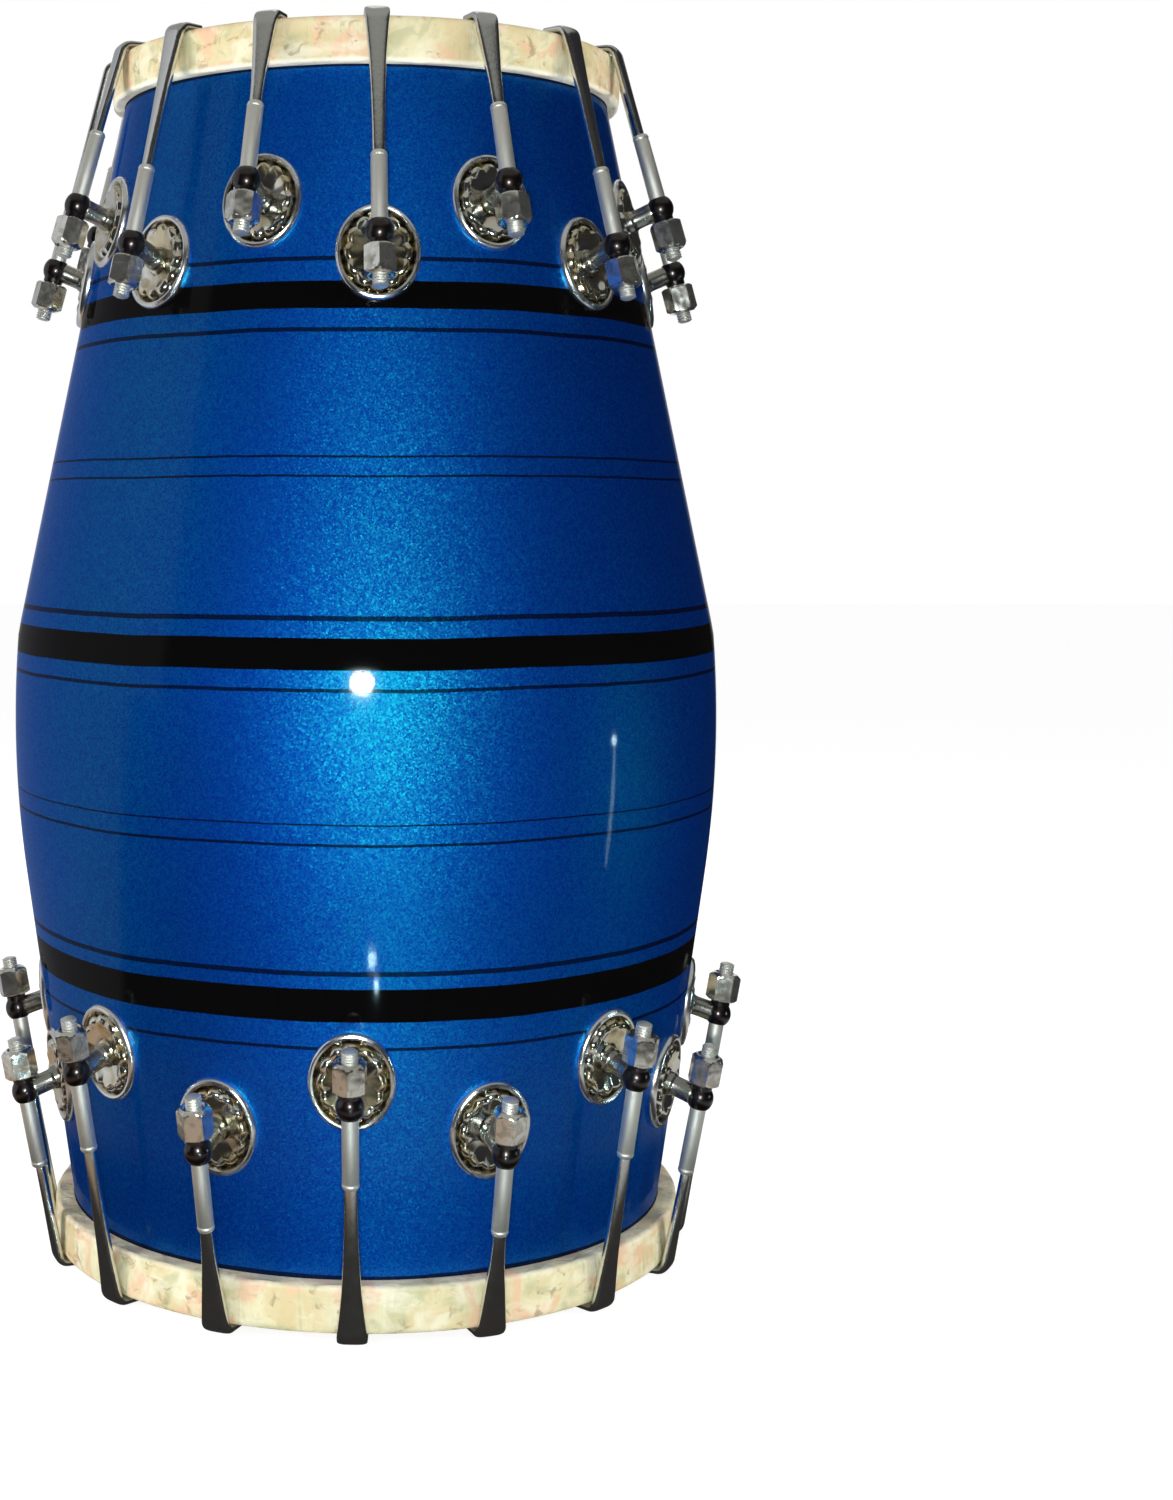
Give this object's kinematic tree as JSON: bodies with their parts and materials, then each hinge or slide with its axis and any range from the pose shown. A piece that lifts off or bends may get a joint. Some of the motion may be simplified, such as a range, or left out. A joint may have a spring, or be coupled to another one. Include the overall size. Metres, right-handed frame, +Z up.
{
  "type": "dholak",
  "caption": "Barrel hand drum with a blue lacquered wooden shell, a skin head on a wrapped hoop at each end, and hook-and-nut tuning all round.",
  "frame": {"origin": "centre of the drum's axis at the level of the floor, under the lips of the bass hooks", "axes": "+Z up along the drum's axis from the bass end to the treble end, -Y towards the front of the picture"},
  "size_m": [0.2998, 0.2998, 0.47],
  "materials": {
    "lacquered_wood": "glossy blue metallic-flake lacquer with black painted rings",
    "hide": "cream raw hide, mottled and dry",
    "paste": "dull dark tuning paste",
    "hook_steel": "polished plated steel",
    "nut_nickel": "bright nickel plate"
  },
  "bodies": {
    "drum": {"shell": "lacquered_wood", "treble_hoop": "hide", "bass_hoop": "hide", "treble_skin": "hide", "bass_skin": "hide", "bass_tuning_paste": "paste"},
    "treble_hook_01": {"treble_hook_01": "hook_steel"},
    "treble_nut_01": {"treble_nut_01": "nut_nickel"},
    "treble_hook_02": {"treble_hook_02": "hook_steel"},
    "treble_nut_02": {"treble_nut_02": "nut_nickel"},
    "treble_hook_03": {"treble_hook_03": "hook_steel"},
    "treble_nut_03": {"treble_nut_03": "nut_nickel"},
    "treble_hook_04": {"treble_hook_04": "hook_steel"},
    "treble_nut_04": {"treble_nut_04": "nut_nickel"},
    "treble_hook_05": {"treble_hook_05": "hook_steel"},
    "treble_nut_05": {"treble_nut_05": "nut_nickel"},
    "treble_hook_06": {"treble_hook_06": "hook_steel"},
    "treble_nut_06": {"treble_nut_06": "nut_nickel"},
    "treble_hook_07": {"treble_hook_07": "hook_steel"},
    "treble_nut_07": {"treble_nut_07": "nut_nickel"},
    "treble_hook_08": {"treble_hook_08": "hook_steel"},
    "treble_nut_08": {"treble_nut_08": "nut_nickel"},
    "treble_hook_09": {"treble_hook_09": "hook_steel"},
    "treble_nut_09": {"treble_nut_09": "nut_nickel"},
    "treble_hook_10": {"treble_hook_10": "hook_steel"},
    "treble_nut_10": {"treble_nut_10": "nut_nickel"},
    "treble_hook_11": {"treble_hook_11": "hook_steel"},
    "treble_nut_11": {"treble_nut_11": "nut_nickel"},
    "treble_hook_12": {"treble_hook_12": "hook_steel"},
    "treble_nut_12": {"treble_nut_12": "nut_nickel"},
    "treble_hook_13": {"treble_hook_13": "hook_steel"},
    "treble_nut_13": {"treble_nut_13": "nut_nickel"},
    "treble_hook_14": {"treble_hook_14": "hook_steel"},
    "treble_nut_14": {"treble_nut_14": "nut_nickel"},
    "treble_hook_15": {"treble_hook_15": "hook_steel"},
    "treble_nut_15": {"treble_nut_15": "nut_nickel"},
    "treble_hook_16": {"treble_hook_16": "hook_steel"},
    "treble_nut_16": {"treble_nut_16": "nut_nickel"},
    "bass_hook_01": {"bass_hook_01": "hook_steel"},
    "bass_hook_02": {"bass_hook_02": "hook_steel"},
    "bass_hook_03": {"bass_hook_03": "hook_steel"},
    "bass_hook_04": {"bass_hook_04": "hook_steel"},
    "bass_hook_05": {"bass_hook_05": "hook_steel"},
    "bass_hook_06": {"bass_hook_06": "hook_steel"},
    "bass_hook_07": {"bass_hook_07": "hook_steel"},
    "bass_hook_08": {"bass_hook_08": "hook_steel"},
    "bass_hook_09": {"bass_hook_09": "hook_steel"},
    "bass_hook_10": {"bass_hook_10": "hook_steel"},
    "bass_hook_11": {"bass_hook_11": "hook_steel"},
    "bass_hook_12": {"bass_hook_12": "hook_steel"},
    "bass_hook_13": {"bass_hook_13": "hook_steel"},
    "bass_hook_14": {"bass_hook_14": "hook_steel"},
    "bass_hook_15": {"bass_hook_15": "hook_steel"},
    "bass_hook_16": {"bass_hook_16": "hook_steel"}
  },
  "joints": [
    {"name": "treble_nut_01_turn", "type": "hinge", "parent": "drum", "child": "treble_nut_01", "pos_m": [0.00479, -0.12481, 0.38629], "axis": [0.0098, -0.2545, -0.967], "range_deg": [0, 2160]},
    {"name": "treble_hook_01_slide", "type": "slide", "parent": "drum", "child": "treble_hook_01", "axis": [0.0098, -0.2545, -0.967], "range_m": [-0.006, 0]},
    {"name": "treble_nut_02_turn", "type": "hinge", "parent": "drum", "child": "treble_nut_02", "pos_m": [0.05055, -0.1099, 0.40579], "axis": [0.1139, -0.2477, -0.9621], "range_deg": [0, 2160]},
    {"name": "treble_hook_02_slide", "type": "slide", "parent": "drum", "child": "treble_hook_02", "axis": [0.1139, -0.2477, -0.9621], "range_m": [-0.006, 0]},
    {"name": "treble_nut_03_turn", "type": "hinge", "parent": "drum", "child": "treble_nut_03", "pos_m": [0.09165, -0.08486, 0.38629], "axis": [0.1869, -0.1731, -0.967], "range_deg": [0, 2160]},
    {"name": "treble_hook_03_slide", "type": "slide", "parent": "drum", "child": "treble_hook_03", "axis": [0.1869, -0.1731, -0.967], "range_m": [-0.006, 0]},
    {"name": "treble_nut_04_turn", "type": "hinge", "parent": "drum", "child": "treble_nut_04", "pos_m": [0.11346, -0.04197, 0.40579], "axis": [0.2557, -0.0946, -0.9621], "range_deg": [0, 2160]},
    {"name": "treble_hook_04_slide", "type": "slide", "parent": "drum", "child": "treble_hook_04", "axis": [0.2557, -0.0946, -0.9621], "range_m": [-0.006, 0]},
    {"name": "treble_nut_05_turn", "type": "hinge", "parent": "drum", "child": "treble_nut_05", "pos_m": [0.12481, 0.00479, 0.38629], "axis": [0.2545, 0.0098, -0.967], "range_deg": [0, 2160]},
    {"name": "treble_hook_05_slide", "type": "slide", "parent": "drum", "child": "treble_hook_05", "axis": [0.2545, 0.0098, -0.967], "range_m": [-0.006, 0]},
    {"name": "treble_nut_06_turn", "type": "hinge", "parent": "drum", "child": "treble_nut_06", "pos_m": [0.1099, 0.05055, 0.40579], "axis": [0.2477, 0.1139, -0.9621], "range_deg": [0, 2160]},
    {"name": "treble_hook_06_slide", "type": "slide", "parent": "drum", "child": "treble_hook_06", "axis": [0.2477, 0.1139, -0.9621], "range_m": [-0.006, 0]},
    {"name": "treble_nut_07_turn", "type": "hinge", "parent": "drum", "child": "treble_nut_07", "pos_m": [0.08486, 0.09165, 0.38629], "axis": [0.1731, 0.1869, -0.967], "range_deg": [0, 2160]},
    {"name": "treble_hook_07_slide", "type": "slide", "parent": "drum", "child": "treble_hook_07", "axis": [0.1731, 0.1869, -0.967], "range_m": [-0.006, 0]},
    {"name": "treble_nut_08_turn", "type": "hinge", "parent": "drum", "child": "treble_nut_08", "pos_m": [0.04197, 0.11346, 0.40579], "axis": [0.0946, 0.2557, -0.9621], "range_deg": [0, 2160]},
    {"name": "treble_hook_08_slide", "type": "slide", "parent": "drum", "child": "treble_hook_08", "axis": [0.0946, 0.2557, -0.9621], "range_m": [-0.006, 0]},
    {"name": "treble_nut_09_turn", "type": "hinge", "parent": "drum", "child": "treble_nut_09", "pos_m": [-0.00479, 0.12481, 0.38629], "axis": [-0.0098, 0.2545, -0.967], "range_deg": [0, 2160]},
    {"name": "treble_hook_09_slide", "type": "slide", "parent": "drum", "child": "treble_hook_09", "axis": [-0.0098, 0.2545, -0.967], "range_m": [-0.006, 0]},
    {"name": "treble_nut_10_turn", "type": "hinge", "parent": "drum", "child": "treble_nut_10", "pos_m": [-0.05055, 0.1099, 0.40579], "axis": [-0.1139, 0.2477, -0.9621], "range_deg": [0, 2160]},
    {"name": "treble_hook_10_slide", "type": "slide", "parent": "drum", "child": "treble_hook_10", "axis": [-0.1139, 0.2477, -0.9621], "range_m": [-0.006, 0]},
    {"name": "treble_nut_11_turn", "type": "hinge", "parent": "drum", "child": "treble_nut_11", "pos_m": [-0.09165, 0.08486, 0.38629], "axis": [-0.1869, 0.1731, -0.967], "range_deg": [0, 2160]},
    {"name": "treble_hook_11_slide", "type": "slide", "parent": "drum", "child": "treble_hook_11", "axis": [-0.1869, 0.1731, -0.967], "range_m": [-0.006, 0]},
    {"name": "treble_nut_12_turn", "type": "hinge", "parent": "drum", "child": "treble_nut_12", "pos_m": [-0.11346, 0.04197, 0.40579], "axis": [-0.2557, 0.0946, -0.9621], "range_deg": [0, 2160]},
    {"name": "treble_hook_12_slide", "type": "slide", "parent": "drum", "child": "treble_hook_12", "axis": [-0.2557, 0.0946, -0.9621], "range_m": [-0.006, 0]},
    {"name": "treble_nut_13_turn", "type": "hinge", "parent": "drum", "child": "treble_nut_13", "pos_m": [-0.12481, -0.00479, 0.38629], "axis": [-0.2545, -0.0098, -0.967], "range_deg": [0, 2160]},
    {"name": "treble_hook_13_slide", "type": "slide", "parent": "drum", "child": "treble_hook_13", "axis": [-0.2545, -0.0098, -0.967], "range_m": [-0.006, 0]},
    {"name": "treble_nut_14_turn", "type": "hinge", "parent": "drum", "child": "treble_nut_14", "pos_m": [-0.1099, -0.05055, 0.40579], "axis": [-0.2477, -0.1139, -0.9621], "range_deg": [0, 2160]},
    {"name": "treble_hook_14_slide", "type": "slide", "parent": "drum", "child": "treble_hook_14", "axis": [-0.2477, -0.1139, -0.9621], "range_m": [-0.006, 0]},
    {"name": "treble_nut_15_turn", "type": "hinge", "parent": "drum", "child": "treble_nut_15", "pos_m": [-0.08486, -0.09165, 0.38629], "axis": [-0.1731, -0.1869, -0.967], "range_deg": [0, 2160]},
    {"name": "treble_hook_15_slide", "type": "slide", "parent": "drum", "child": "treble_hook_15", "axis": [-0.1731, -0.1869, -0.967], "range_m": [-0.006, 0]},
    {"name": "treble_nut_16_turn", "type": "hinge", "parent": "drum", "child": "treble_nut_16", "pos_m": [-0.04197, -0.11346, 0.40579], "axis": [-0.0946, -0.2557, -0.9621], "range_deg": [0, 2160]},
    {"name": "treble_hook_16_slide", "type": "slide", "parent": "drum", "child": "treble_hook_16", "axis": [-0.0946, -0.2557, -0.9621], "range_m": [-0.006, 0]},
    {"name": "bass_hook_01_slide", "type": "slide", "parent": "drum", "child": "bass_hook_01", "axis": [-0.007, -0.1825, 0.9832], "range_m": [-0.006, 0]},
    {"name": "bass_hook_02_slide", "type": "slide", "parent": "drum", "child": "bass_hook_02", "axis": [-0.0811, -0.1764, 0.981], "range_m": [-0.006, 0]},
    {"name": "bass_hook_03_slide", "type": "slide", "parent": "drum", "child": "bass_hook_03", "axis": [-0.134, -0.1241, 0.9832], "range_m": [-0.006, 0]},
    {"name": "bass_hook_04_slide", "type": "slide", "parent": "drum", "child": "bass_hook_04", "axis": [-0.1821, -0.0674, 0.981], "range_m": [-0.006, 0]},
    {"name": "bass_hook_05_slide", "type": "slide", "parent": "drum", "child": "bass_hook_05", "axis": [-0.1825, 0.007, 0.9832], "range_m": [-0.006, 0]},
    {"name": "bass_hook_06_slide", "type": "slide", "parent": "drum", "child": "bass_hook_06", "axis": [-0.1764, 0.0811, 0.981], "range_m": [-0.006, 0]},
    {"name": "bass_hook_07_slide", "type": "slide", "parent": "drum", "child": "bass_hook_07", "axis": [-0.1241, 0.134, 0.9832], "range_m": [-0.006, 0]},
    {"name": "bass_hook_08_slide", "type": "slide", "parent": "drum", "child": "bass_hook_08", "axis": [-0.0674, 0.1821, 0.981], "range_m": [-0.006, 0]},
    {"name": "bass_hook_09_slide", "type": "slide", "parent": "drum", "child": "bass_hook_09", "axis": [0.007, 0.1825, 0.9832], "range_m": [-0.006, 0]},
    {"name": "bass_hook_10_slide", "type": "slide", "parent": "drum", "child": "bass_hook_10", "axis": [0.0811, 0.1764, 0.981], "range_m": [-0.006, 0]},
    {"name": "bass_hook_11_slide", "type": "slide", "parent": "drum", "child": "bass_hook_11", "axis": [0.134, 0.1241, 0.9832], "range_m": [-0.006, 0]},
    {"name": "bass_hook_12_slide", "type": "slide", "parent": "drum", "child": "bass_hook_12", "axis": [0.1821, 0.0674, 0.981], "range_m": [-0.006, 0]},
    {"name": "bass_hook_13_slide", "type": "slide", "parent": "drum", "child": "bass_hook_13", "axis": [0.1825, -0.007, 0.9832], "range_m": [-0.006, 0]},
    {"name": "bass_hook_14_slide", "type": "slide", "parent": "drum", "child": "bass_hook_14", "axis": [0.1764, -0.0811, 0.981], "range_m": [-0.006, 0]},
    {"name": "bass_hook_15_slide", "type": "slide", "parent": "drum", "child": "bass_hook_15", "axis": [0.1241, -0.134, 0.9832], "range_m": [-0.006, 0]},
    {"name": "bass_hook_16_slide", "type": "slide", "parent": "drum", "child": "bass_hook_16", "axis": [0.0674, -0.1821, 0.981], "range_m": [-0.006, 0]}
  ],
  "couplings": [
    {"joint": "treble_nut_01_turn", "follows": "treble_hook_01_slide", "rad_per_m": -6283.2},
    {"joint": "treble_nut_02_turn", "follows": "treble_hook_02_slide", "rad_per_m": -6283.2},
    {"joint": "treble_nut_03_turn", "follows": "treble_hook_03_slide", "rad_per_m": -6283.2},
    {"joint": "treble_nut_04_turn", "follows": "treble_hook_04_slide", "rad_per_m": -6283.2},
    {"joint": "treble_nut_05_turn", "follows": "treble_hook_05_slide", "rad_per_m": -6283.2},
    {"joint": "treble_nut_06_turn", "follows": "treble_hook_06_slide", "rad_per_m": -6283.2},
    {"joint": "treble_nut_07_turn", "follows": "treble_hook_07_slide", "rad_per_m": -6283.2},
    {"joint": "treble_nut_08_turn", "follows": "treble_hook_08_slide", "rad_per_m": -6283.2},
    {"joint": "treble_nut_09_turn", "follows": "treble_hook_09_slide", "rad_per_m": -6283.2},
    {"joint": "treble_nut_10_turn", "follows": "treble_hook_10_slide", "rad_per_m": -6283.2},
    {"joint": "treble_nut_11_turn", "follows": "treble_hook_11_slide", "rad_per_m": -6283.2},
    {"joint": "treble_nut_12_turn", "follows": "treble_hook_12_slide", "rad_per_m": -6283.2},
    {"joint": "treble_nut_13_turn", "follows": "treble_hook_13_slide", "rad_per_m": -6283.2},
    {"joint": "treble_nut_14_turn", "follows": "treble_hook_14_slide", "rad_per_m": -6283.2},
    {"joint": "treble_nut_15_turn", "follows": "treble_hook_15_slide", "rad_per_m": -6283.2},
    {"joint": "treble_nut_16_turn", "follows": "treble_hook_16_slide", "rad_per_m": -6283.2}
  ]
}
